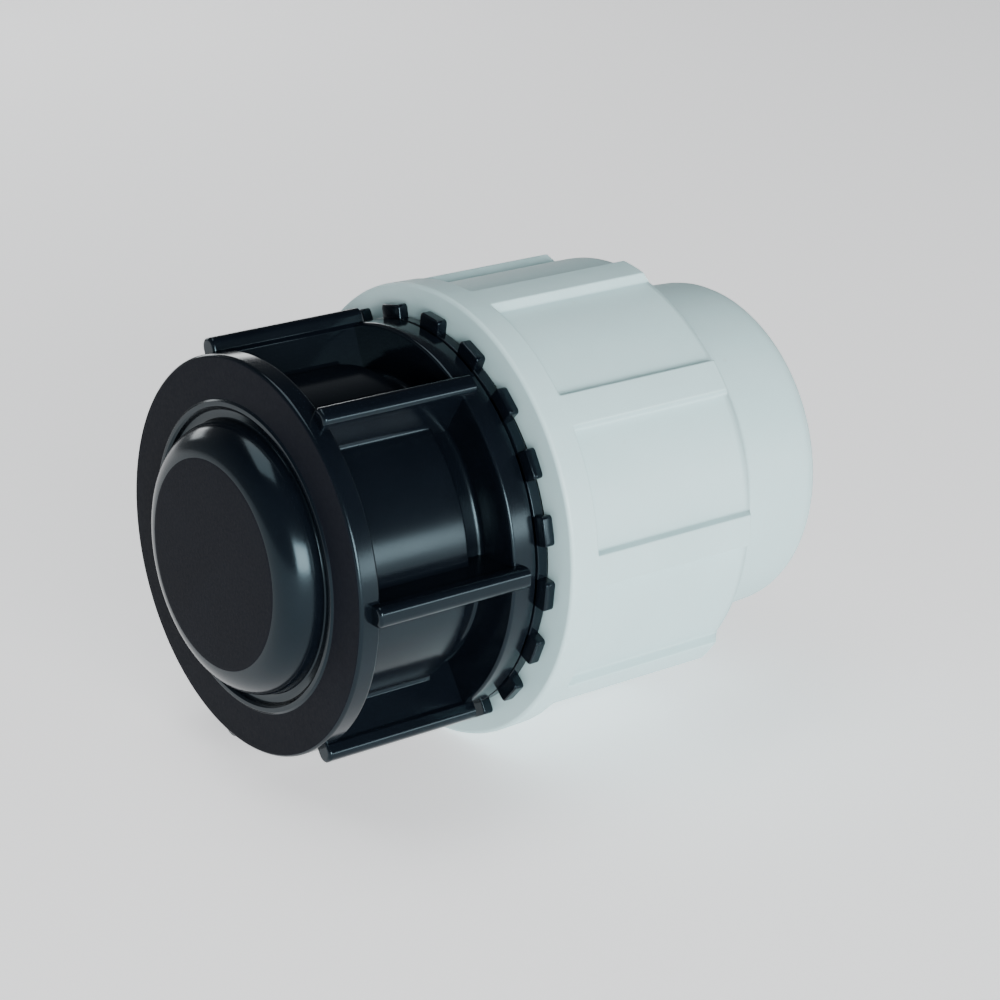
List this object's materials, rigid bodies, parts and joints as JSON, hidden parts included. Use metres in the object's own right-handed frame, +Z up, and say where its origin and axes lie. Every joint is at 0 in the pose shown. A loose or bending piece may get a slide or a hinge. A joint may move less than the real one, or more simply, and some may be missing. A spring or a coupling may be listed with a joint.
{
  "type": "compression fitting",
  "caption": "Compression end plug for polyethylene pipe: a blank domed body and a ribbed nut that screws onto it over a seal, a thrust ring and a split grip ring.",
  "frame": {"origin": "centre of the flat top of the dome on the closed end", "axes": "+X along the fitting's axis from the closed end to the pipe mouth, +Z up with the fitting lying on its side, +Y completing the right-handed set"},
  "size_m": [0.074, 0.054, 0.054],
  "materials": {
    "black_polypropylene": "moulded, semi-gloss, duller on the closed end",
    "grey_polypropylene": "moulded, satin",
    "white_acetal": "moulded, smooth",
    "dark_polypropylene": "moulded, satin",
    "nitrile_rubber": "smooth rubber"
  },
  "bodies": {
    "body": {"body": "black_polypropylene", "o_ring": "nitrile_rubber"},
    "grip_ring": {"grip_ring": "white_acetal"},
    "nut": {"nut": "grey_polypropylene"},
    "thrust_ring": {"thrust_ring": "dark_polypropylene"}
  },
  "joints": [
    {"name": "nut_travel", "type": "slide", "parent": "body", "child": "grip_ring", "axis": [1, 0, 0], "range_m": [0, 0.0141]},
    {"name": "nut_turn", "type": "hinge", "parent": "grip_ring", "child": "nut", "pos_m": [0.04, 0, 0], "axis": [1, 0, 0], "range_deg": [0, 1260]},
    {"name": "thrust_ring_travel", "type": "slide", "parent": "body", "child": "thrust_ring", "axis": [1, 0, 0], "range_m": [0, 0.0012]}
  ],
  "couplings": [
    {"joint": "nut_travel", "follows": "nut_turn", "m_per_rad": 0.0006366},
    {"joint": "thrust_ring_travel", "follows": "nut_turn", "m_per_rad": 0.00005}
  ]
}
